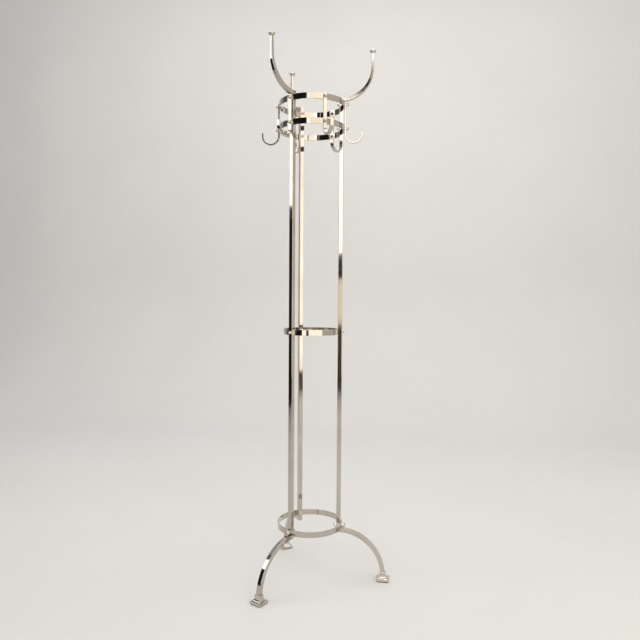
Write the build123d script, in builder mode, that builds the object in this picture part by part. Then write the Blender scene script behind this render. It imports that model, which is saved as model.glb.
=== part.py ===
from build123d import *
from math import cos, hypot, radians, sin
import os

# Standing coat rack: three square posts on three curved legs, joined by four flat rings,
# with three curved hat arms on the post tops and six J hooks round the head rings.
# Millimetres, +Z up. The origin is on the floor under the rack's axis of threefold symmetry.
# +X points from the axis to the right-hand post.

# ---- Driving dimensions ----
BAR = 15.0  # side of the square bar of the posts and legs
BAR_EDGE = 1.2  # rounding of the bar's long edges
TUBE_WALL = 1.5  # wall of the post tubes
POST_RADIUS = 104.0  # rack axis to the post centres
POST_BOTTOM = 180.0
POST_TOP = 1675.0
POST_ANGLES = {"right": 0.0, "rear": 120.0, "left": 240.0}
BETWEEN_ANGLES = {"front": 300.0, "rear_right": 60.0, "rear_left": 180.0}

BAND_HEIGHT = 20.0  # all four rings
BAND_THICKNESS = 3.2
BAND_EDGE = 0.5
FIT_GAP = 0.05  # between faces that seat on each other
UPPER_HEAD_TOP = POST_TOP
LOWER_HEAD_TOP = 1593.0
MIDDLE_TOP = 887.0
BASE_TOP = POST_BOTTOM + BAND_HEIGHT

FOOT_RADIUS = 262.0  # rack axis to the middle of each foot
FOOT_SIDE = 44.0
FOOT_SLAB = 6.0  # the cap's square edge
FOOT_WAIST_SIDE = 32.0  # half way up the hollow flare
FOOT_WAIST_HEIGHT = 12.5
FOOT_NECK_SIDE = 21.5
FOOT_FLARE_TOP = 19.0
FOOT_HEIGHT = 30.0
FOOT_CORNER = 1.5
PAD_HEIGHT = 2.5
PAD_SIDE = 40.0

ARM_TIP_SIDE = 9.0  # the hat arms taper from the bar's side to this
ARM_TIP_RADIUS = 210.0  # rack axis to the middle of each arm's tip
ARM_TIP = 1835.0
FINIAL_DIAMETER = 22.0
FINIAL_TOP = 1850.0
FINIAL_BRIM = 1843.0  # height of the button's widest circle
FINIAL_COLLAR = 5.5  # radius
FINIAL_COLLAR_HEIGHT = 2.0
FINIAL_SPIGOT = 2.5  # radius
FINIAL_SPIGOT_LENGTH = 9.0

HOOK_WIDTH = 12.5
HOOK_THICKNESS = 4.5
HOOK_BEND = 29.0  # centreline radius of the J
HOOK_BEND_HEIGHT = 1563.0  # height of the J's centre
HOOK_TIP = 1572.0
HOOK_EDGE = 0.8

HEAD_BOLT = {"shank": 2.5, "head": 6.2, "height": 9.5}  # radii and dome height
MIDDLE_BOLT = {"shank": 2.5, "head": 5.2, "height": 7.5}
BASE_BOLT = {"shank": 3.0, "head": 8.0, "height": 11.5}
HOLE_CLEARANCE = 0.15  # a bolt hole's radius less the bolt's
BOLT_END = 1.5  # how far a bolt runs into its nut's dome
BOLT_END_SPARE = 0.5  # left in the hole beyond it
SMALL_NUT = {"radius": 6.5, "height": 4.0, "dome_radius": 5.4, "dome": 4.5}  # radius over the corners
BASE_NUT = {"radius": 8.5, "height": 5.0, "dome_radius": 7.2, "dome": 5.5}
WASHER_RADIUS = 9.5
WASHER_THICKNESS = 1.6

PLUG_LENGTH = 36.0  # plugs inside the post ends
JOINT_SCREW = {"shank": 2.5, "head": 4.6}  # countersunk, leg to plug and arm to plug
JOINT_SCREW_REACH = 6.0  # into the plug, short of its cross bolt

# ---- Worked out from them ----
POST_INNER = POST_RADIUS - BAR / 2
POST_OUTER = POST_RADIUS + BAR / 2
OUTER_BAND_INSIDE = hypot(POST_OUTER, BAR / 2) + FIT_GAP
OUTER_BAND_OUTSIDE = OUTER_BAND_INSIDE + BAND_THICKNESS
MIDDLE_BAND_OUTSIDE = POST_INNER - FIT_GAP
MIDDLE_BAND_INSIDE = MIDDLE_BAND_OUTSIDE - BAND_THICKNESS
LEG_BEND = FOOT_RADIUS - POST_RADIUS  # centreline radii of the quarter turns
ARM_BEND = ARM_TIP_RADIUS - POST_RADIUS
CURVE_GAP = 0.25  # lets a flat nut or washer sit clear of the ring's curve
UPPER_HEAD_BOLT = UPPER_HEAD_TOP - BAND_HEIGHT / 2
LOWER_HEAD_BOLT = LOWER_HEAD_TOP - BAND_HEIGHT / 2
HEAD_BOLT_HEIGHTS = (UPPER_HEAD_BOLT, LOWER_HEAD_BOLT)
MIDDLE_BOLT_HEIGHT = MIDDLE_TOP - BAND_HEIGHT / 2
BASE_BOLT_HEIGHT = BASE_TOP - BAND_HEIGHT / 2
PLUG_SIDE = BAR - 2 * TUBE_WALL - 2 * FIT_GAP
LEG_LINE = POST_BOTTOM - BAR / 2  # height of the leg's level run
ARM_LINE = POST_TOP + BAR / 2  # height of the arm's level run
HOOK_FACE = OUTER_BAND_OUTSIDE + HOOK_THICKNESS
HOOK_LINE = OUTER_BAND_OUTSIDE + HOOK_THICKNESS / 2


def upright(angle, height=0.0, radius=0.0):
    """The upright plane through the rack's axis at this angle: local X outwards, local Y up."""
    out_x, out_y = cos(radians(angle)), sin(radians(angle))
    return Plane(
        origin=(radius * out_x, radius * out_y, height), x_dir=(out_x, out_y, 0), z_dir=(out_y, -out_x, 0)
    )


def facing_out(angle, radius, height):
    """The plane square to the outward direction at this angle, radius and height."""
    out_x, out_y = cos(radians(angle)), sin(radians(angle))
    return Plane(
        origin=(radius * out_x, radius * out_y, height), x_dir=(-out_y, out_x, 0), z_dir=(out_x, out_y, 0)
    )


def level(angle, radius, height):
    """The level plane whose origin is at this angle, radius and height, and whose X points outwards."""
    out_x, out_y = cos(radians(angle)), sin(radians(angle))
    return Plane(origin=(radius * out_x, radius * out_y, height), x_dir=(out_x, out_y, 0), z_dir=(0, 0, 1))


def post_axis(angle):
    """The upright centreline of the post at this angle."""
    return Axis(level(angle, POST_RADIUS, 0).origin, (0, 0, 1))


def finish(piece, name):
    """Labels a finished piece and writes it as one STEP file."""
    piece.part.label = name
    export_step(piece.part, f"parts/{name}.step")


def cross_hole(angle, radius, height, hole_radius, depth):
    """Cuts a round hole along the outward direction, centred on this radius, in the piece being built."""
    with BuildSketch(facing_out(angle, radius, height)) as hole:
        Circle(hole_radius)
    extrude(hole.sketch, amount=depth, both=True, mode=Mode.SUBTRACT)


os.makedirs("parts", exist_ok=True)


# ---- Posts: square tubes, bored for the ring bolts ----
def make_post(side, angle):
    with BuildPart() as post:
        with BuildSketch(level(angle, POST_RADIUS, POST_BOTTOM)):
            RectangleRounded(BAR, BAR, BAR_EDGE)
            Rectangle(BAR - 2 * TUBE_WALL, BAR - 2 * TUBE_WALL, mode=Mode.SUBTRACT)
        extrude(amount=POST_TOP - POST_BOTTOM)
        for height in HEAD_BOLT_HEIGHTS:
            cross_hole(angle, POST_RADIUS, height, HEAD_BOLT["shank"] + HOLE_CLEARANCE, BAR)
        cross_hole(angle, POST_RADIUS, MIDDLE_BOLT_HEIGHT, MIDDLE_BOLT["shank"] + HOLE_CLEARANCE, BAR)
        cross_hole(angle, POST_RADIUS, BASE_BOLT_HEIGHT, BASE_BOLT["shank"] + HOLE_CLEARANCE, BAR)
    finish(post, f"post_{side}")


# ---- Rings: flat bands, bored for their bolts ----
def make_ring(name, inside, outside, top, bolts):
    """bolts is a list of (angle, shank radius)."""
    with BuildPart() as ring:
        with BuildSketch(Plane.XY.offset(top - BAND_HEIGHT)):
            Circle(outside)
            Circle(inside, mode=Mode.SUBTRACT)
        extrude(amount=BAND_HEIGHT)
        fillet(ring.edges().filter_by(GeomType.CIRCLE), radius=BAND_EDGE)
        for angle, shank in bolts:
            cross_hole(angle, inside, top - BAND_HEIGHT / 2, shank + HOLE_CLEARANCE, 2 * BAND_THICKNESS)
    finish(ring, name)


# ---- Legs: one bent square bar each, level under the post, then a quarter turn down ----
def sweep_leg(angle, side, mode=Mode.ADD):
    """Sweeps a square bar of this side along the leg's centreline, in the piece being built."""
    with BuildLine(upright(angle)) as centreline:
        Line((POST_INNER, LEG_LINE), (POST_RADIUS, LEG_LINE))
        turn = CenterArc((POST_RADIUS, LEG_LINE - LEG_BEND), LEG_BEND, 90, -90)
        Line(turn @ 1, (FOOT_RADIUS, PAD_HEIGHT + FOOT_SLAB))
    with BuildSketch(facing_out(angle, POST_INNER, LEG_LINE)) as section:
        RectangleRounded(side, side, BAR_EDGE)
    sweep(section.sketch, path=centreline.wires()[0], mode=mode)


def joint_screw_hole(angle, head_height, inwards):
    """Cuts the countersunk hole for the screw into the post's plug; inwards is 1 up or -1 down."""
    shank = JOINT_SCREW["shank"] + HOLE_CLEARANCE
    head = JOINT_SCREW["head"] + HOLE_CLEARANCE
    with BuildSketch(upright(angle, head_height, POST_RADIUS)) as hole:
        with BuildLine():
            Polyline(
                (0, -inwards),
                (head, -inwards),
                (head, 0),
                (shank, inwards * (head - shank)),
                (shank, inwards * (BAR + 1)),
                (0, inwards * (BAR + 1)),
                close=True,
            )
        make_face()
    revolve(hole.sketch, axis=post_axis(angle), mode=Mode.SUBTRACT)


def make_leg(side, angle):
    with BuildPart() as leg:
        sweep_leg(angle, BAR)
        joint_screw_hole(angle, POST_BOTTOM - BAR, 1)
    finish(leg, f"leg_{side}")


# ---- Foot caps: a neck round the leg on a hollow flare and a square edge, with a pad underneath ----
def foot_section(angle, height, side):
    """The foot's square outline at this height."""
    with BuildSketch(level(angle, FOOT_RADIUS, height)) as outline:
        RectangleRounded(side, side, FOOT_CORNER)
    return outline.sketch


def make_foot(side, angle):
    with BuildPart() as cap:
        extrude(foot_section(angle, PAD_HEIGHT, FOOT_SIDE), amount=FOOT_SLAB)
        edge_top = foot_section(angle, PAD_HEIGHT + FOOT_SLAB, FOOT_SIDE)
        waist = foot_section(angle, FOOT_WAIST_HEIGHT, FOOT_WAIST_SIDE)
        neck_bottom = foot_section(angle, FOOT_FLARE_TOP, FOOT_NECK_SIDE)
        loft([edge_top, waist, neck_bottom])
        extrude(neck_bottom, amount=FOOT_HEIGHT - FOOT_FLARE_TOP)
        sweep_leg(angle, BAR + 2 * FIT_GAP, Mode.SUBTRACT)
    finish(cap, f"foot_cap_{side}")
    with BuildPart() as pad:
        extrude(foot_section(angle, 0, PAD_SIDE), amount=PAD_HEIGHT)
    finish(pad, f"foot_pad_{side}")


# ---- Hat arms: tapered square bars, level on the post, a quarter turn up, then upright ----
def make_arm(side, angle):
    with BuildPart() as arm:
        with BuildLine(upright(angle)) as centreline:
            Line((POST_INNER, ARM_LINE), (POST_RADIUS, ARM_LINE))
            turn = CenterArc((POST_RADIUS, ARM_LINE + ARM_BEND), ARM_BEND, 270, 90)
            Line(turn @ 1, (ARM_TIP_RADIUS, ARM_TIP))
        with BuildSketch(facing_out(angle, POST_INNER, ARM_LINE)):
            RectangleRounded(BAR, BAR, BAR_EDGE)
        with BuildSketch(level(angle, ARM_TIP_RADIUS, ARM_TIP)):
            RectangleRounded(ARM_TIP_SIDE, ARM_TIP_SIDE, BAR_EDGE)
        sweep(path=centreline.wires()[0], multisection=True)
        joint_screw_hole(angle, POST_TOP + BAR, -1)
        with BuildSketch(level(angle, ARM_TIP_RADIUS, ARM_TIP)):
            Circle(FINIAL_SPIGOT + FIT_GAP)
        extrude(amount=-FINIAL_SPIGOT_LENGTH, mode=Mode.SUBTRACT)
    finish(arm, f"hat_arm_{side}")


# ---- Finials: a domed button on a collar, screwed into the arm's tip ----
def make_finial(side, angle):
    brim = FINIAL_DIAMETER / 2
    dome_height = FINIAL_TOP - FINIAL_BRIM
    brim_height = FINIAL_BRIM - ARM_TIP
    spigot = FINIAL_SPIGOT_LENGTH - 2 * FIT_GAP
    with BuildPart() as finial:
        with BuildSketch(upright(angle, ARM_TIP, ARM_TIP_RADIUS)):
            with BuildLine():
                Spline((brim, brim_height), (0, brim_height + dome_height), tangents=[(0, 1), (-1, 0)])
                TangentArc((brim, brim_height), (FINIAL_COLLAR, FINIAL_COLLAR_HEIGHT), tangent=(0, -1))
                Polyline(
                    (FINIAL_COLLAR, FINIAL_COLLAR_HEIGHT),
                    (FINIAL_COLLAR, 0),
                    (FINIAL_SPIGOT, 0),
                    (FINIAL_SPIGOT, -spigot),
                    (0, -spigot),
                    (0, brim_height + dome_height),
                )
            make_face()
        revolve(axis=Axis(level(angle, ARM_TIP_RADIUS, 0).origin, (0, 0, 1)))
    finish(finial, f"finial_{side}")


# ---- Coat hooks: a flat strip down the outside of both head rings, turned up in a J ----
def make_hook(name, angle):
    tip_line = HOOK_LINE + 2 * HOOK_BEND
    with BuildPart() as hook:
        with BuildLine(upright(angle)):
            Line((HOOK_LINE, UPPER_HEAD_TOP), (HOOK_LINE, HOOK_BEND_HEIGHT))
            turn = CenterArc((HOOK_LINE + HOOK_BEND, HOOK_BEND_HEIGHT), HOOK_BEND, 180, 180)
            Line(turn @ 1, (tip_line, HOOK_TIP))
        with BuildSketch(level(angle, HOOK_LINE, UPPER_HEAD_TOP)):
            Rectangle(HOOK_THICKNESS, HOOK_WIDTH)
        sweep()
        with BuildSketch(facing_out(angle, tip_line, HOOK_TIP)):
            Circle(HOOK_WIDTH / 2)
        extrude(amount=HOOK_THICKNESS / 2, both=True)
        fillet(hook.edges(), radius=HOOK_EDGE)
        for height in HEAD_BOLT_HEIGHTS:
            cross_hole(angle, HOOK_LINE, height, HEAD_BOLT["shank"] + HOLE_CLEARANCE, HOOK_THICKNESS)
    finish(hook, name)


# ---- Plugs: square blocks inside the post ends, held by a cross bolt and an end screw ----
def make_plug(name, angle, end_height, inwards, cross_height, cross_shank):
    """inwards is 1 for a plug that runs up from end_height and -1 for one that runs down."""
    with BuildPart() as plug:
        with BuildSketch(level(angle, POST_RADIUS, end_height)):
            Rectangle(PLUG_SIDE, PLUG_SIDE)
        extrude(amount=inwards * PLUG_LENGTH)
        cross_hole(angle, POST_RADIUS, cross_height, cross_shank + HOLE_CLEARANCE, BAR)
        with BuildSketch(level(angle, POST_RADIUS, end_height)):
            Circle(JOINT_SCREW["shank"] + FIT_GAP)
        extrude(amount=inwards * (JOINT_SCREW_REACH + FIT_GAP), mode=Mode.SUBTRACT)
    finish(plug, name)


def add_joint_screw(angle, head_height, inwards):
    """Adds the countersunk screw that joins a leg or an arm to its plug."""
    shank, head = JOINT_SCREW["shank"], JOINT_SCREW["head"]
    reach = inwards * (BAR + JOINT_SCREW_REACH)
    with BuildSketch(upright(angle, head_height, POST_RADIUS)) as profile:
        with BuildLine():
            Polyline((0, 0), (head, 0), (shank, inwards * (head - shank)), (shank, reach), (0, reach), close=True)
        make_face()
    revolve(profile.sketch, axis=post_axis(angle))


# ---- Bolts, washers and nuts ----
def add_bolt(angle, height, seat, end, size):
    """Adds a dome-headed bolt: its head sits at radius seat and its shank runs in to radius end."""
    brim = seat + size["height"] / 4
    crown = seat + size["height"]
    with BuildSketch(upright(angle, height)) as profile:
        with BuildLine():
            Polyline((crown, 0), (end, 0), (end, size["shank"]), (seat, size["shank"]), (seat, size["head"]))
            Line((seat, size["head"]), (brim, size["head"]))
            EllipticalCenterArc((brim, 0), crown - brim, size["head"], arc_size=90)
        make_face()
    revolve(profile.sketch, axis=Axis((0, 0, height), upright(angle).x_dir))


def add_nut(angle, height, seat, size, shank):
    """Adds a domed hexagon nut whose flat face sits at radius seat, with its blind hole."""
    base = seat - size["height"]
    crown = base - size["dome"]
    with BuildSketch(facing_out(angle, seat, height)) as outline:
        RegularPolygon(size["radius"], 6)
    extrude(outline.sketch, amount=-size["height"])
    with BuildSketch(upright(angle, height)) as profile:
        with BuildLine():
            Polyline((crown, 0), (seat, 0), (seat, size["dome_radius"]), (base, size["dome_radius"]))
            Spline((base, size["dome_radius"]), (crown, 0), tangents=[(-1, 0), (0, -1)])
        make_face()
    revolve(profile.sketch, axis=Axis((0, 0, height), upright(angle).x_dir))
    with BuildSketch(facing_out(angle, seat, height)) as hole:
        Circle(shank + FIT_GAP)
    extrude(hole.sketch, amount=-(size["height"] + BOLT_END + BOLT_END_SPARE), mode=Mode.SUBTRACT)


def make_bolt_set(name, angles, heights, bolt_seat, nut_seat, bolt_size, nut_size):
    """Makes one node of bolts and one of nuts, a pair at every angle and height."""
    with BuildPart() as bolts:
        for angle in angles:
            for height in heights:
                add_bolt(angle, height, bolt_seat, nut_seat - nut_size["height"] - BOLT_END, bolt_size)
    finish(bolts, f"{name}_bolts")
    with BuildPart() as nuts:
        for angle in angles:
            for height in heights:
                add_nut(angle, height, nut_seat, nut_size, bolt_size["shank"])
    finish(nuts, f"{name}_nuts")


def make_washers():
    with BuildPart() as washers:
        for angle in POST_ANGLES.values():
            with BuildSketch(facing_out(angle, OUTER_BAND_OUTSIDE, BASE_BOLT_HEIGHT)):
                Circle(WASHER_RADIUS)
                Circle(BASE_BOLT["shank"] + HOLE_CLEARANCE, mode=Mode.SUBTRACT)
            extrude(amount=WASHER_THICKNESS)
    finish(washers, "base_ring_washers")


# ---- The whole rack ----
post_angles = list(POST_ANGLES.values())
between_angles = list(BETWEEN_ANGLES.values())
for side, angle in POST_ANGLES.items():
    make_post(side, angle)
    make_leg(side, angle)
    make_foot(side, angle)
    make_arm(side, angle)
    make_finial(side, angle)
    make_hook(f"post_hook_{side}", angle)
    make_plug(f"leg_plug_{side}", angle, POST_BOTTOM, 1, BASE_BOLT_HEIGHT, BASE_BOLT["shank"])
    make_plug(f"arm_plug_{side}", angle, POST_TOP, -1, UPPER_HEAD_BOLT, HEAD_BOLT["shank"])
for side, angle in BETWEEN_ANGLES.items():
    make_hook(f"ring_hook_{side}", angle)

head_holes = [(angle, HEAD_BOLT["shank"]) for angle in post_angles + between_angles]
make_ring("upper_head_ring", OUTER_BAND_INSIDE, OUTER_BAND_OUTSIDE, UPPER_HEAD_TOP, head_holes)
make_ring("lower_head_ring", OUTER_BAND_INSIDE, OUTER_BAND_OUTSIDE, LOWER_HEAD_TOP, head_holes)
middle_holes = [(angle, MIDDLE_BOLT["shank"]) for angle in post_angles]
make_ring("middle_ring", MIDDLE_BAND_INSIDE, MIDDLE_BAND_OUTSIDE, MIDDLE_TOP, middle_holes)
base_holes = [(angle, BASE_BOLT["shank"]) for angle in post_angles]
make_ring("base_ring", OUTER_BAND_INSIDE, OUTER_BAND_OUTSIDE, BASE_TOP, base_holes)

with BuildPart() as leg_screws:
    for angle in post_angles:
        add_joint_screw(angle, POST_BOTTOM - BAR, 1)
finish(leg_screws, "leg_screws")
with BuildPart() as arm_screws:
    for angle in post_angles:
        add_joint_screw(angle, POST_TOP + BAR, -1)
finish(arm_screws, "arm_screws")

ring_nut_seat = OUTER_BAND_INSIDE - CURVE_GAP
middle_nut_seat = MIDDLE_BAND_INSIDE - CURVE_GAP
washer_face = OUTER_BAND_OUTSIDE + WASHER_THICKNESS
make_bolt_set("post_hook", post_angles, HEAD_BOLT_HEIGHTS, HOOK_FACE, POST_INNER, HEAD_BOLT, SMALL_NUT)
make_bolt_set("ring_hook", between_angles, HEAD_BOLT_HEIGHTS, HOOK_FACE, ring_nut_seat, HEAD_BOLT, SMALL_NUT)
make_bolt_set("middle_ring", post_angles, [MIDDLE_BOLT_HEIGHT], POST_OUTER, middle_nut_seat, MIDDLE_BOLT, SMALL_NUT)
make_bolt_set("base_ring", post_angles, [BASE_BOLT_HEIGHT], washer_face, POST_INNER, BASE_BOLT, BASE_NUT)
make_washers()
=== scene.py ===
import math

import bpy
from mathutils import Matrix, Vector


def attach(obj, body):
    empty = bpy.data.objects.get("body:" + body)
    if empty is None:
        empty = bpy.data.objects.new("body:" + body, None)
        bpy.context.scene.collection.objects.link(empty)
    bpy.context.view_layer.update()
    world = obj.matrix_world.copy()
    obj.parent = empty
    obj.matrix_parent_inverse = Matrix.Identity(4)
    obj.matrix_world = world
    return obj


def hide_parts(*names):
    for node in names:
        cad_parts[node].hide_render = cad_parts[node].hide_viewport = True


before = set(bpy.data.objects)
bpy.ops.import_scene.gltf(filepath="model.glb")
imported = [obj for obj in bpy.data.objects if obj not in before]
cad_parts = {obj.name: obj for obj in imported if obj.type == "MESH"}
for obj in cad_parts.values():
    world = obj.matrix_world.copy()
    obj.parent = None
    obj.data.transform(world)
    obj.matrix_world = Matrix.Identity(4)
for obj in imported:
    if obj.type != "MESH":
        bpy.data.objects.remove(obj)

# Metres, the CAD frame: +Z up, the rack's axis on the origin, the right-hand post on +X.
SIDES = {"right": 0.0, "rear": 120.0, "left": 240.0}
BETWEEN = {"front": 300.0, "rear_right": 60.0, "rear_left": 180.0}
BAR = 0.015
BAR_EDGE = 0.0012
POST_RADIUS = 0.104
POST_BOTTOM = 0.180
POST_TOP = 1.675
POST_INNER = POST_RADIUS - BAR / 2
LOWER_HEAD_TOP = 1.593
MIDDLE_TOP = 0.887
BAND_HEIGHT = 0.020
BAND_THICKNESS = 0.0032
BAND_EDGE = 0.0006
BAND_GAP = 0.00005  # between a band and the posts
OUTER_BAND = math.hypot(POST_RADIUS + BAR / 2, BAR / 2) + BAND_GAP + BAND_THICKNESS / 2
MIDDLE_BAND = POST_INNER - BAND_GAP - BAND_THICKNESS / 2
HEAD_BOLT_HEIGHTS = (1.665, 1.583)
MIDDLE_BOLT_HEIGHTS = (0.877,)
BASE_BOLT_HEIGHTS = (0.190,)
FOOT_RADIUS = 0.262
LEG_END = 0.0087  # inside the foot cap
ARM_TIP_RADIUS = 0.210
ARM_TIP = 1.835
ARM_TIP_HALF = 0.0045  # half the bar's width at the tip
HOOK_WIDTH = 0.0125
HOOK_THICKNESS = 0.0045
HOOK_LINE = OUTER_BAND + BAND_THICKNESS / 2 + HOOK_THICKNESS / 2
HOOK_BEND = 0.029
HOOK_BEND_HEIGHT = 1.563
HOOK_TIP = 1.572
HOOK_EDGE = 0.0008
END_STEPS = 4  # stations round a bar's end
PIN = 0.00001  # radius left open where a lathed piece meets its axis


def save_size():
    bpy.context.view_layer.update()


save_size()


# ---- Shapes ----
def outward(angle):
    return Vector((math.cos(math.radians(angle)), math.sin(math.radians(angle)), 0.0))


def quarter(steps):
    """The turns from 0 to 90 degrees in this many steps, in radians."""
    return [math.radians(90 * step / steps) for step in range(steps + 1)]


def bite(turn):
    """How far a quarter curve of radius 1 is from its square corner at this turn, in two directions."""
    return 1 - math.sin(turn), 1 - math.cos(turn)


def section_points(half_a, half_b, corner, steps):
    """A rounded rectangle's points and normals, anticlockwise, as (a, b, normal a, normal b)."""
    corner = min(corner, half_a, half_b)
    points = []
    for quarter, (side_a, side_b) in enumerate(((1, 1), (-1, 1), (-1, -1), (1, -1))):
        for step in range(steps + 1):
            turn = math.radians(90 * quarter + 90 * step / steps)
            normal_a, normal_b = math.cos(turn), math.sin(turn)
            points.append((
                side_a * (half_a - corner) + corner * normal_a,
                side_b * (half_b - corner) + corner * normal_b,
                normal_a,
                normal_b,
            ))
    return points


def make_mesh(name, verts, faces, normals):
    mesh = bpy.data.meshes.new(name)
    mesh.from_pydata([tuple(v) for v in verts], [], faces)
    mesh.polygons.foreach_set("use_smooth", [True] * len(mesh.polygons))
    mesh.normals_split_custom_set_from_vertices([tuple(n) for n in normals])
    obj = bpy.data.objects.new(name, mesh)
    bpy.context.scene.collection.objects.link(obj)
    return obj


def skin(name, stations, corner, steps=4, closed=False):
    """Sweeps a rounded rectangle.

    A station is centre, along, a axis, b axis, half a, half b, tilt a, tilt b.
    A tilt leans the normals along the sweep.
    """
    verts, normals, faces = [], [], []
    count = 4 * (steps + 1)
    for centre, along, axis_a, axis_b, half_a, half_b, tilt_a, tilt_b in stations:
        for a, b, normal_a, normal_b in section_points(half_a, half_b, corner, steps):
            lean = abs(normal_a) * math.sin(tilt_a) + abs(normal_b) * math.sin(tilt_b)
            across = axis_a * normal_a * math.cos(tilt_a) + axis_b * normal_b * math.cos(tilt_b)
            verts.append(centre + axis_a * a + axis_b * b)
            normals.append((across + along * lean).normalized())
    rings = len(stations)
    for ring in range(rings if closed else rings - 1):
        here, there = ring * count, ((ring + 1) % rings) * count
        for i in range(count):
            j = (i + 1) % count
            faces.append((here + i, here + j, there + j, there + i))
    if not closed:
        for ring, sign in ((0, -1), (rings - 1, 1)):
            start = len(verts)
            along = stations[ring][1] * sign
            for i in range(count):
                verts.append(verts[ring * count + i].copy())
                normals.append(along)
            order = range(start, start + count)
            faces.append(tuple(order) if sign > 0 else tuple(reversed(order)))
    return make_mesh(name, verts, faces, normals)


def ease(station, slide, shrink, tilt):
    """The station moved along by slide, with its section smaller all round by shrink."""
    centre, along, axis_a, axis_b, half_a, half_b = station[:6]
    return centre + along * slide, along, axis_a, axis_b, half_a - shrink, half_b - shrink, tilt, tilt


def round_ends(path, radius, steps=END_STEPS):
    """Adds the stations that round a bar's two ends. path is a list of stations with no tilt."""
    head, tail = [], []
    for turn in quarter(steps):
        near, far = bite(turn)
        tilt = math.pi / 2 - turn
        head.append(ease(path[0], radius * far, radius * near, -tilt))
        tail.append(ease(path[-1], -radius * far, radius * near, tilt))
    return head + path[1:-1] + tail[::-1]


def planar_path(angle, points, half_a, half_b):
    """Stations along points in the upright plane at this angle.

    A point is radius, height, and the direction along the bar as its radius and height parts.
    """
    out = outward(angle)
    side = Vector((-out.y, out.x, 0.0))
    stations = []
    for k, (radius, height, along_r, along_z) in enumerate(points):
        along = (out * along_r + Vector((0, 0, along_z))).normalized()
        axis_b = side
        axis_a = axis_b.cross(along)
        a = half_a[k] if isinstance(half_a, list) else half_a
        b = half_b[k] if isinstance(half_b, list) else half_b
        stations.append((out * radius + Vector((0, 0, height)), along, axis_a, axis_b, a, b, 0.0, 0.0))
    return stations


def arc_points(centre_r, centre_z, radius, start, sweep, steps):
    """Points for planar_path round an arc."""
    points = []
    for step in range(steps + 1):
        turn = math.radians(start + sweep * step / steps)
        sign = 1 if sweep > 0 else -1
        points.append((
            centre_r + radius * math.cos(turn),
            centre_z + radius * math.sin(turn),
            -math.sin(turn) * sign,
            math.cos(turn) * sign,
        ))
    return points


def lathe(name, centre, axis, profile, steps=48):
    """Turns a profile of (radius, height along the axis) about the axis through centre.

    The surface is sharp where the profile repeats a point.
    """
    axis = axis.normalized()
    side = Vector((0, 0, 1)) if abs(axis.z) < 0.9 else Vector((1, 0, 0))
    u = axis.cross(side).normalized()
    v = axis.cross(u)
    runs, run = [], [profile[0]]
    for point in profile[1:]:
        if point == run[-1]:
            runs.append(run)
            run = [point]
        else:
            run.append(point)
    runs.append(run)
    verts, normals, faces = [], [], []
    for run in runs:
        start = len(verts)
        for k, (radius, height) in enumerate(run):
            before, after = run[max(k - 1, 0)], run[min(k + 1, len(run) - 1)]
            slope = Vector((after[0] - before[0], after[1] - before[1])).normalized()
            for step in range(steps):
                turn = 2 * math.pi * step / steps
                out = u * math.cos(turn) + v * math.sin(turn)
                verts.append(centre + out * radius + axis * height)
                normals.append((out * slope.y - axis * slope.x).normalized())
        for k in range(len(run) - 1):
            for step in range(steps):
                after = (step + 1) % steps
                a, b = start + k * steps, start + (k + 1) * steps
                faces.append((a + step, a + after, b + after, b + step))
    return make_mesh(name, verts, faces, normals)


def show(obj, material, node):
    """Paints a mesh and shows it in place of the CAD node."""
    obj.data.materials.clear()
    obj.data.materials.append(material)
    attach(obj, "root")
    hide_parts(node)


# ---- Materials ----
def new_material(name):
    material = bpy.data.materials.new(name)
    material.use_nodes = True
    tree = material.node_tree
    shader = tree.nodes["Principled BSDF"]
    return material, tree, shader


def noise(tree, coords, scale, detail, **more):
    made = tree.nodes.new("ShaderNodeTexNoise")
    made.inputs["Scale"].default_value = scale
    made.inputs["Detail"].default_value = detail
    for key, value in more.items():
        made.inputs[key].default_value = value
    tree.links.new(coords, made.inputs["Vector"])
    return made


def ramp(tree, source, stops):
    made = tree.nodes.new("ShaderNodeValToRGB")
    elements = made.color_ramp.elements
    while len(elements) < len(stops):
        elements.new(0.5)
    for element, (place, color) in zip(elements, stops):
        element.position = place
        element.color = (*color, 1.0) if len(color) == 3 else color
    tree.links.new(source, made.inputs["Fac"])
    return made


def spread(tree, source, low, high, out_low, out_high):
    made = tree.nodes.new("ShaderNodeMapRange")
    made.inputs["From Min"].default_value = low
    made.inputs["From Max"].default_value = high
    made.inputs["To Min"].default_value = out_low
    made.inputs["To Max"].default_value = out_high
    tree.links.new(source, made.inputs["Value"])
    return made.outputs["Result"]


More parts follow.
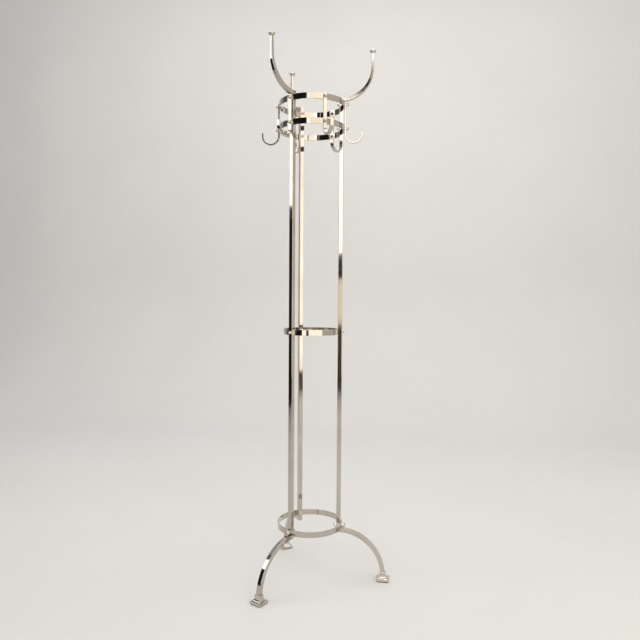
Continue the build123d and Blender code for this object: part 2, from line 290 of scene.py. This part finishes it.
def nickel(name, tint, dull, rough_low, rough_high, grain=900.0, bump=0.00002):
    """Polished warm nickel plate: faint cloudy tint, smudges and wiping marks, a slight orange-peel wave."""
    material, tree, shader = new_material(name)
    coords = tree.nodes.new("ShaderNodeTexCoord").outputs["Object"]
    cloud = noise(tree, coords, 7.0, 4.0, Roughness=0.6, Distortion=0.4)
    color = ramp(tree, cloud.outputs["Fac"], [(0.34, dull), (0.62, tint)])
    tree.links.new(color.outputs["Color"], shader.inputs["Base Color"])
    shader.inputs["Metallic"].default_value = 1.0
    smudge = noise(tree, coords, 38.0, 6.0, Roughness=0.65, Distortion=0.8)
    wipe = noise(tree, coords, grain, 3.0, Roughness=0.5)
    mixed = tree.nodes.new("ShaderNodeMath")
    mixed.operation = "MULTIPLY_ADD"
    mixed.inputs[1].default_value = 0.25
    tree.links.new(wipe.outputs["Fac"], mixed.inputs[0])
    tree.links.new(smudge.outputs["Fac"], mixed.inputs[2])
    roughness = spread(tree, mixed.outputs["Value"], 0.45, 0.85, rough_low, rough_high)
    tree.links.new(roughness, shader.inputs["Roughness"])
    peel = noise(tree, coords, 55.0, 2.0, Roughness=0.4)
    relief = tree.nodes.new("ShaderNodeBump")
    relief.inputs["Strength"].default_value = 0.12
    relief.inputs["Distance"].default_value = bump
    tree.links.new(peel.outputs["Fac"], relief.inputs["Height"])
    tree.links.new(relief.outputs["Normal"], shader.inputs["Normal"])
    return material


def rubber(name):
    material, tree, shader = new_material(name)
    coords = tree.nodes.new("ShaderNodeTexCoord").outputs["Object"]
    grain = noise(tree, coords, 600.0, 4.0, Roughness=0.6)
    dust = noise(tree, coords, 30.0, 5.0, Roughness=0.6)
    color = ramp(tree, dust.outputs["Fac"], [(0.35, (0.012, 0.012, 0.012)), (0.75, (0.045, 0.043, 0.04))])
    tree.links.new(color.outputs["Color"], shader.inputs["Base Color"])
    tree.links.new(spread(tree, dust.outputs["Fac"], 0.3, 0.8, 0.6, 0.85), shader.inputs["Roughness"])
    relief = tree.nodes.new("ShaderNodeBump")
    relief.inputs["Strength"].default_value = 0.3
    relief.inputs["Distance"].default_value = 0.0002
    tree.links.new(grain.outputs["Fac"], relief.inputs["Height"])
    tree.links.new(relief.outputs["Normal"], shader.inputs["Normal"])
    return material


bar_metal = nickel("nickel_bars", (0.60, 0.56, 0.51), (0.50, 0.465, 0.42), 0.03, 0.10)
band_metal = nickel("nickel_bands", (0.59, 0.55, 0.50), (0.49, 0.455, 0.41), 0.035, 0.11)
hook_metal = nickel("nickel_hooks", (0.60, 0.56, 0.51), (0.50, 0.465, 0.42), 0.035, 0.12)
cast_metal = nickel("nickel_cast", (0.64, 0.60, 0.55), (0.54, 0.505, 0.46), 0.05, 0.14, bump=0.00006)
bolt_metal = nickel("nickel_fasteners", (0.66, 0.62, 0.57), (0.56, 0.525, 0.48), 0.05, 0.13)
hidden_steel = nickel(
    "plain_steel", (0.56, 0.56, 0.56), (0.40, 0.40, 0.40), 0.30, 0.48, grain=1500.0, bump=0.0001
)
pad_rubber = rubber("pad_rubber")

# ---- Posts, legs and hat arms ----
POST_STEPS = 8
LEG_STEPS = 72
ARM_STEPS = 64
POST_END_EDGE = 0.0002
LEG_END_EDGE = 0.0006
ARM_END_EDGE = 0.0005


def square_bar(name, angle, points, half, end_edge, end_steps=END_STEPS):
    """A square bar along points, in place of the CAD node of this name."""
    stations = round_ends(planar_path(angle, points, half, half), end_edge, end_steps)
    show(skin(f"{name}_bar", stations, BAR_EDGE, 5), bar_metal, name)


def post(side, angle):
    height = POST_TOP - POST_BOTTOM
    points = [(POST_RADIUS, POST_BOTTOM + height * k / POST_STEPS, 0.0, 1.0) for k in range(POST_STEPS + 1)]
    square_bar(f"post_{side}", angle, points, BAR / 2, POST_END_EDGE, 2)


def leg(side, angle):
    line = POST_BOTTOM - BAR / 2
    bend = FOOT_RADIUS - POST_RADIUS
    points = [(POST_INNER, line, 1.0, 0.0)]
    points += arc_points(POST_RADIUS, line - bend, bend, 90, -90, LEG_STEPS)
    points += [(FOOT_RADIUS, LEG_END, 0.0, -1.0)]
    square_bar(f"leg_{side}", angle, points, BAR / 2, LEG_END_EDGE)


def hat_arm(side, angle):
    """The arm thins evenly along its length from the bar's width to the tip's."""
    line = POST_TOP + BAR / 2
    bend = ARM_TIP_RADIUS - POST_RADIUS
    points = [(POST_INNER, line, 1.0, 0.0)]
    points += arc_points(POST_RADIUS, line + bend, bend, 270, 90, ARM_STEPS)
    points += [(ARM_TIP_RADIUS, ARM_TIP, 0.0, 1.0)]
    run = [0.0]
    for before, after in zip(points, points[1:]):
        run.append(run[-1] + math.hypot(after[0] - before[0], after[1] - before[1]))
    halves = [BAR / 2 + (ARM_TIP_HALF - BAR / 2) * r / run[-1] for r in run]
    square_bar(f"hat_arm_{side}", angle, points, halves, ARM_END_EDGE)


for side, angle in SIDES.items():
    post(side, angle)
    leg(side, angle)
    hat_arm(side, angle)


# ---- Rings ----
RING_STEPS = 192


def ring_band(name, radius, top):
    """A flat band. The sweep goes backwards round the ring, so that the faces look outwards."""
    up = Vector((0, 0, 1))
    middle = Vector((0, 0, top - BAND_HEIGHT / 2))
    halves = (BAND_THICKNESS / 2, BAND_HEIGHT / 2)
    stations = []
    for step in reversed(range(RING_STEPS)):
        out = outward(360 * step / RING_STEPS)
        along = Vector((out.y, -out.x, 0))
        stations.append((out * radius + middle, along, out, up, *halves, 0.0, 0.0))
    show(skin(f"{name}_band", stations, BAND_EDGE, 4, closed=True), band_metal, name)


ring_band("upper_head_ring", OUTER_BAND, POST_TOP)
ring_band("lower_head_ring", OUTER_BAND, LOWER_HEAD_TOP)
ring_band("middle_ring", MIDDLE_BAND, MIDDLE_TOP)
ring_band("base_ring", OUTER_BAND, POST_BOTTOM + BAND_HEIGHT)


# ---- Hooks ----
HOOK_SHANK_MIDDLE = 1.62  # a station part way down the straight shank
HOOK_BEND_STEPS = 64
HOOK_TIP_STEPS = 25
HOOK_END_EDGE = 0.0007
HOOK_TIP_HALF = 0.0009  # half the width left at the end of the round tip


def coat_hook(name, angle):
    """A flat strip down both head rings and up in a J, with its tip rounded across the width."""
    tip_line = HOOK_LINE + 2 * HOOK_BEND
    points = [(HOOK_LINE, POST_TOP, 0.0, -1.0), (HOOK_LINE, HOOK_SHANK_MIDDLE, 0.0, -1.0)]
    points += arc_points(HOOK_LINE + HOOK_BEND, HOOK_BEND_HEIGHT, HOOK_BEND, 180, 180, HOOK_BEND_STEPS)
    points += [(tip_line, HOOK_TIP, 0.0, 1.0)]
    path = planar_path(angle, points, HOOK_THICKNESS / 2, HOOK_WIDTH / 2)
    stations = round_ends(path, HOOK_END_EDGE)
    del stations[-END_STEPS - 1:]  # the tip's own stations take the place of the squarely rounded end
    for step in range(HOOK_TIP_STEPS):
        turn = math.radians(90 * step / HOOK_TIP_STEPS)
        tip = [(tip_line, HOOK_TIP + HOOK_WIDTH / 2 * math.sin(turn), 0.0, 1.0)]
        half_width = max(HOOK_WIDTH / 2 * math.cos(turn), HOOK_TIP_HALF)
        here = planar_path(angle, tip, HOOK_THICKNESS / 2, half_width)[0]
        stations.append((*here[:7], turn))
    show(skin(f"{name}_strip", stations, HOOK_EDGE, 4), hook_metal, name)


for side, angle in SIDES.items():
    coat_hook(f"post_hook_{side}", angle)
for side, angle in BETWEEN.items():
    coat_hook(f"ring_hook_{side}", angle)


# ---- Foot caps ----
CAP_HALF = 0.0220  # half the foot's width
CAP_BOTTOM = 0.0025  # on the pad
CAP_LOWER_EDGE = 0.0005
CAP_EDGE = 0.0006
CAP_RIM_TOP = 0.0085
CAP_FLARE_BOTTOM = 0.0087
CAP_FLARE_WIDTH = 0.01045
CAP_FLARE_HEIGHT = 0.0103
CAP_FLARE_TOP_HALF = 0.01085
CAP_NECK_HALF = 0.01075
CAP_TOP = 0.0300
CAP_CORNER = 0.0015


def foot_cap(side, angle):
    """A square rim, a hollow flare and a neck round the leg."""
    profile = []  # half side, height, tilt of the face from upright
    for turn in quarter(3):
        near, far = bite(turn)
        half = CAP_HALF - CAP_LOWER_EDGE * near
        profile.append((half, CAP_BOTTOM + CAP_LOWER_EDGE * far, turn - math.pi / 2))
    for turn in quarter(3):
        near, far = bite(turn)
        profile.append((CAP_HALF - CAP_EDGE * far, CAP_RIM_TOP - CAP_EDGE * near, turn))
    for turn in quarter(16):
        near, far = bite(turn)
        half = CAP_FLARE_TOP_HALF + CAP_FLARE_WIDTH * near
        profile.append((half, CAP_FLARE_BOTTOM + CAP_FLARE_HEIGHT * far, math.pi / 2 - turn))
    for turn in quarter(3):
        near, far = bite(turn)
        profile.append((CAP_NECK_HALF - CAP_EDGE * far, CAP_TOP - CAP_EDGE * near, turn))
    out = outward(angle)
    tangent = Vector((-out.y, out.x, 0))
    up = Vector((0, 0, 1))
    stations = [(out * FOOT_RADIUS + up * z, up, out, tangent, s, s, tilt, tilt) for s, z, tilt in profile]
    cap = skin(f"foot_cap_{side}_casting", stations, CAP_CORNER, 5)
    show(cap, cast_metal, f"foot_cap_{side}")


for side, angle in SIDES.items():
    foot_cap(side, angle)


# ---- Finials ----
FINIAL_COLLAR = (
    (0.0004, 0.0), (0.0052, 0.0), (0.0054, 0.0001), (0.0055, 0.0003),
    (0.0055, 0.0018), (0.0055, 0.0020), (0.0055, 0.0020),
)
FINIAL_BRIM = 0.008  # the widest part's height above the arm's tip
FINIAL_RADIUS = 0.011
FINIAL_DOME = 0.007
FINIAL_UNDER = 0.00602  # radius of the rounded underside, and where its centre stands
FINIAL_UNDER_CENTRE = 0.00498


def finial(side, angle):
    """A collar, a rounded underside and a dome, turned on the arm's tip."""
    profile = list(FINIAL_COLLAR)
    for step in range(13):
        turn = math.radians(-85 + 85 * step / 12)
        radius = FINIAL_UNDER_CENTRE + FINIAL_UNDER * math.cos(turn)
        profile.append((radius, FINIAL_BRIM + FINIAL_UNDER * math.sin(turn)))
    for turn in quarter(24)[1:]:
        radius = max(FINIAL_RADIUS * math.cos(turn), PIN)
        profile.append((radius, FINIAL_BRIM + FINIAL_DOME * math.sin(turn)))
    place = outward(angle) * ARM_TIP_RADIUS + Vector((0, 0, ARM_TIP))
    knob = lathe(f"finial_{side}_button", place, Vector((0, 0, 1)), profile, 64)
    show(knob, cast_metal, f"finial_{side}")


for side, angle in SIDES.items():
    finial(side, angle)


# ---- Bolts ----
HEAD_EDGE = 0.0003  # rounding under a bolt's head
SHANK_EDGE = 0.0004
HEAD_BOLT = {"shank": 0.0025, "head": 0.0062, "height": 0.0095}
MIDDLE_BOLT = {"shank": 0.0025, "head": 0.0052, "height": 0.0075}
BASE_BOLT = {"shank": 0.003, "head": 0.008, "height": 0.0115}
BASE_WASHER = 0.0016
# How far a shank goes on past the face under its nut: a post's inner face, or a ring's.
PAST_POST = 0.0055
PAST_RING = 0.0057
PAST_BASE = 0.0075


def dome_profile(radius, height, brim, steps=20):
    """A domed head from its softened lower edge up a short upright brim to its crown."""
    profile = [(radius - HEAD_EDGE, 0.0)]
    for degrees in (30, 60, 90):
        near, far = bite(math.radians(degrees))
        profile.append((radius - HEAD_EDGE * near, HEAD_EDGE * far))
    for turn in quarter(steps):
        profile.append((max(radius * math.cos(turn), PIN), brim + (height - brim) * math.sin(turn)))
    return profile


def join(pieces, name):
    for piece in bpy.context.selected_objects:
        piece.select_set(False)
    for piece in pieces:
        piece.select_set(True)
    bpy.context.view_layer.objects.active = pieces[0]
    bpy.ops.object.join()
    pieces[0].name = name
    pieces[0].data.name = name
    return pieces[0]


def bolt_set(name, angles, levels, seat, end, shank, head, height):
    """Domed heads on plain shanks from radius seat in to radius end, each set one piece like its node."""
    inner = end - seat
    profile = [(PIN, inner), (shank - SHANK_EDGE, inner), (shank, inner + SHANK_EDGE)]
    profile += [(shank, 0.0), (shank, 0.0)]  # twice, for a sharp corner under the head
    profile += dome_profile(head, height, height / 4)
    pieces = []
    for angle in angles:
        out = outward(angle)
        for level in levels:
            place = out * seat + Vector((0, 0, level))
            pieces.append(lathe(f"{name}_{len(pieces)}", place, out, profile, 40))
    show(join(pieces, f"{name}_domed"), bolt_metal, name)


angles = list(SIDES.values())
between = list(BETWEEN.values())
post_outside = POST_RADIUS + BAR / 2
hook_face = HOOK_LINE + HOOK_THICKNESS / 2
base_seat = OUTER_BAND + BAND_THICKNESS / 2 + BASE_WASHER
post_end = POST_INNER - PAST_POST
ring_end = OUTER_BAND - BAND_THICKNESS / 2 - PAST_RING
middle_end = MIDDLE_BAND - BAND_THICKNESS / 2 - PAST_RING
base_end = POST_INNER - PAST_BASE
bolt_set("post_hook_bolts", angles, HEAD_BOLT_HEIGHTS, hook_face, post_end, **HEAD_BOLT)
bolt_set("ring_hook_bolts", between, HEAD_BOLT_HEIGHTS, hook_face, ring_end, **HEAD_BOLT)
bolt_set("middle_ring_bolts", angles, MIDDLE_BOLT_HEIGHTS, post_outside, middle_end, **MIDDLE_BOLT)
bolt_set("base_ring_bolts", angles, BASE_BOLT_HEIGHTS, base_seat, base_end, **BASE_BOLT)


# ---- CAD nodes that are shown as they are ----
NUT_EDGE = 0.00035
PAD_EDGE = 0.0005
SHARP_ANGLE = 40  # degrees; edges sharper than this are bevelled


def paint(node, material):
    node.data.materials.clear()
    node.data.materials.append(material)


def soften(node, width, harden):
    """A small bevel on a CAD node's sharp edges."""
    bevel = node.modifiers.new("edge", "BEVEL")
    bevel.width = width
    bevel.segments = 3
    bevel.limit_method = "ANGLE"
    bevel.angle_limit = math.radians(SHARP_ANGLE)
    bevel.harden_normals = harden


for name in ("post_hook_nuts", "ring_hook_nuts", "middle_ring_nuts", "base_ring_nuts", "base_ring_washers"):
    paint(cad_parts[name], bolt_metal)
    soften(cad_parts[name], NUT_EDGE, True)
for name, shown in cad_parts.items():
    if "_plug_" in name or name in ("leg_screws", "arm_screws"):
        paint(shown, hidden_steel)
for side in SIDES:
    paint(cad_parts[f"foot_pad_{side}"], pad_rubber)
    soften(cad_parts[f"foot_pad_{side}"], PAD_EDGE, False)

save_size()

# ---- Stage: a pale sweep, screens for the metal to mirror, and a pale wall all round ----
SWEEP_SIDE = 6.0  # the floor's half width, and how far it comes forward
SWEEP_BACK = 2.2  # where the floor starts to curve up
SWEEP_BEND = 1.2
SWEEP_TOP = 5.0
SWEEP_COLOR = (0.80, 0.80, 0.795)
SCREEN_EYE = 1.0  # the height that the screens' elevations are measured from
SCREEN_LOWEST = 0.02
SCREEN_STEPS = 12
SURROUND_COLOR = (0.72, 0.71, 0.685)
SURROUND_STEPS = 96
SURROUND_RADIUS = 12.0
SURROUND_BOTTOM = -6.0
SURROUND_TOP = 16.0
WHITE = (1.0, 0.985, 0.955)
CREAM = (1.0, 0.91, 0.79)
TAN = (0.62, 0.53, 0.42)
GREY = (0.42, 0.40, 0.36)
SLATE = (0.20, 0.18, 0.16)
CHARCOAL = (0.10, 0.095, 0.085)
BROWN = (0.085, 0.065, 0.045)
SOOT = (0.035, 0.036, 0.032)
DARK = (0.012, 0.012, 0.013)
# Each screen: name, bearings from and to, distance, low and high elevation in degrees, colour, glow.
SCREENS = (
    ("left_far", 160.0, 186.0, 3.4, -16.0, 40.0, CHARCOAL, 0.5),
    ("left_white", 186.0, 207.0, 3.4, 13.0, 40.0, WHITE, 1.45),
    ("left_dark", 186.0, 207.0, 3.4, -17.0, 13.0, DARK, 0.0),
    ("front_left_dark", 207.0, 242.0, 3.6, -17.0, 34.0, DARK, 0.0),
    ("front_left_grey", 242.0, 259.0, 3.6, -17.0, -9.0, SLATE, 0.5),
    ("front_left_low", 242.0, 259.0, 3.6, -9.0, 6.0, WHITE, 1.1),
    ("front_left_black", 242.0, 259.0, 3.6, 6.0, 34.0, DARK, 0.0),
    ("front_left_white", 207.0, 259.0, 3.7, 34.0, 50.0, WHITE, 1.2),
    ("front_white", 261.0, 270.0, 4.2, 6.0, 26.2, WHITE, 1.55),
    ("front_rail", 259.0, 272.0, 4.15, 26.2, 29.6, DARK, 0.0),
    ("front_white_top", 261.0, 270.0, 4.2, 29.6, 46.0, WHITE, 1.55),
    ("front_dark", 261.0, 270.0, 4.2, 2.5, 6.0, SOOT, 0.0),
    ("front_tan", 261.0, 270.0, 4.2, -4.0, 2.5, TAN, 1.25),
    ("front_brown", 261.0, 270.0, 4.2, -14.0, -4.0, BROWN, 0.3),
    ("front_right_cream", 270.0, 308.0, 4.0, -11.0, 40.0, CREAM, 1.15),
    ("right_cream", 308.0, 326.0, 4.0, -11.0, 40.0, CREAM, 1.25),
    ("front_right_brown", 270.0, 326.0, 4.0, -16.0, -11.0, BROWN, 0.6),
    ("right_grey", 326.0, 386.0, 3.6, -16.0, 40.0, GREY, 0.85),
)


def stage_material(name, color, glow=0.0):
    """Matt paper or cloth with a faint cloud in its tone, glowing by itself if asked."""
    material, tree, shader = new_material(name)
    coords = tree.nodes.new("ShaderNodeTexCoord").outputs["Object"]
    cloud = noise(tree, coords, 1.4, 3.0)
    low = tuple(c * 0.97 for c in color)
    tone = ramp(tree, cloud.outputs["Fac"], [(0.3, low), (0.7, color)])
    tree.links.new(tone.outputs["Color"], shader.inputs["Base Color"])
    shader.inputs["Roughness"].default_value = 0.7
    shader.inputs["Specular IOR Level"].default_value = 0.1
    if glow:
        tree.links.new(tone.outputs["Color"], shader.inputs["Emission Color"])
        shader.inputs["Emission Strength"].default_value = glow
    return material


def glow_material(name, color):
    """A flat tone that takes no light."""
    material, _, shader = new_material(name)
    shader.inputs["Base Color"].default_value = (0.0, 0.0, 0.0, 1.0)
    shader.inputs["Specular IOR Level"].default_value = 0.0
    shader.inputs["Emission Color"].default_value = (*color, 1.0)
    shader.inputs["Emission Strength"].default_value = 1.0
    return material


def stage_strip(name, edges, material, closed=False):
    """A curved sheet between pairs of points, as a piece of the stage."""
    verts = [tuple(point) for pair in edges for point in pair]
    count = len(edges)
    faces = []
    for k in range(count if closed else count - 1):
        after = 2 * ((k + 1) % count)
        faces.append((2 * k, 2 * k + 1, after + 1, after))
    mesh = bpy.data.meshes.new(name)
    mesh.from_pydata(verts, [], faces)
    mesh.polygons.foreach_set("use_smooth", [True] * len(mesh.polygons))
    obj = bpy.data.objects.new(name, mesh)
    bpy.context.scene.collection.objects.link(obj)
    obj.data.materials.append(material)
    return obj


def sweep_backdrop():
    """A pale floor that curves up behind the rack."""
    outline = [(-SWEEP_SIDE, 0.0), (SWEEP_BACK, 0.0)]
    for degrees in range(5, 91, 5):
        turn = math.radians(degrees)
        outline.append((SWEEP_BACK + SWEEP_BEND * math.sin(turn), SWEEP_BEND - SWEEP_BEND * math.cos(turn)))
    outline.append((SWEEP_BACK + SWEEP_BEND, SWEEP_TOP))
    edges = [((-SWEEP_SIDE, y, z), (SWEEP_SIDE, y, z)) for y, z in outline]
    stage_strip("backdrop", edges, stage_material("backdrop_paper", SWEEP_COLOR))


def screen(name, bearing_from, bearing_to, distance, low, high, color, glow):
    """A curved screen that is seen only as a reflection in the metal."""
    bottom = max(SCREEN_EYE + distance * math.tan(math.radians(low)), SCREEN_LOWEST)
    top = SCREEN_EYE + distance * math.tan(math.radians(high))
    edges = []
    for step in range(SCREEN_STEPS + 1):
        foot = outward(bearing_from + (bearing_to - bearing_from) * step / SCREEN_STEPS) * distance
        edges.append((foot + Vector((0, 0, bottom)), foot + Vector((0, 0, top))))
    sheet = stage_strip(name, edges, stage_material(name + "_finish", color, glow))
    sheet.visible_camera = False


def surround():
    """A wall that only the camera sees, so that it adds no light and no reflection."""
    edges = []
    for step in range(SURROUND_STEPS):
        foot = outward(360.0 * step / SURROUND_STEPS) * SURROUND_RADIUS
        edges.append((foot + Vector((0, 0, SURROUND_BOTTOM)), foot + Vector((0, 0, SURROUND_TOP))))
    wall = stage_strip("surround", edges, glow_material("surround_paint", SURROUND_COLOR), closed=True)
    wall.visible_diffuse = False
    wall.visible_glossy = False
    wall.visible_transmission = False
    wall.visible_volume_scatter = False
    wall.visible_shadow = False


sweep_backdrop()
surround()
for row in SCREENS:
    screen(*row)


# ---- Light ----
def area_light(name, place, target, width, height, power, color):
    data = bpy.data.lights.new(name, "AREA")
    data.shape = "RECTANGLE"
    data.size = width
    data.size_y = height
    data.energy = power
    data.color = color
    obj = bpy.data.objects.new(name, data)
    obj.location = place
    obj.rotation_euler = (Vector(target) - Vector(place)).to_track_quat("-Z", "Y").to_euler()
    bpy.context.scene.collection.objects.link(obj)


area_light("overhead", (0.0, 0.5, 4.2), (0.0, 0.8, 0.0), 4.4, 3.4, 75.0, (1.0, 0.99, 0.97))

world = bpy.data.worlds.new("studio")
bpy.context.scene.world = world
world.use_nodes = True
sky = world.node_tree.nodes["Background"]
sky.inputs["Color"].default_value = (0.80, 0.80, 0.80, 1.0)
sky.inputs["Strength"].default_value = 0.55

# ---- Camera ----
# Angles in degrees. AZIMUTH is from straight in front round towards the right post.
AZIMUTH = 8.69
DISTANCE = 2.166
HEIGHT = 1.002
PAN = 0.85
PITCH = -2.24
ROLL = 0.38
PICTURE = 640.0  # pixels across
FOCAL_PIXELS = 612.8  # the lens, in the picture's pixels
SENSOR = 36.0

camera_data = bpy.data.cameras.new("camera")
camera_data.sensor_width = SENSOR
camera_data.lens = FOCAL_PIXELS * SENSOR / PICTURE
camera_data.clip_end = 50.0
camera = bpy.data.objects.new("camera", camera_data)
bpy.context.scene.collection.objects.link(camera)
bpy.context.scene.camera = camera
back = Vector((math.sin(math.radians(AZIMUTH)), -math.cos(math.radians(AZIMUTH)), 0.0))
camera.location = back * DISTANCE + Vector((0, 0, HEIGHT))
heading = math.radians(AZIMUTH - PAN)
look = Vector((-math.sin(heading), math.cos(heading), math.tan(math.radians(PITCH)))).normalized()
turn = look.to_track_quat("-Z", "Y").to_matrix()
roll = math.radians(ROLL)
right, up = turn.col[0].copy(), turn.col[1].copy()
turn.col[0] = right * math.cos(roll) + up * math.sin(roll)
turn.col[1] = up * math.cos(roll) - right * math.sin(roll)
camera.rotation_euler = turn.to_euler()

bpy.context.scene.view_settings.view_transform = "Standard"
bpy.context.scene.view_settings.look = "None"
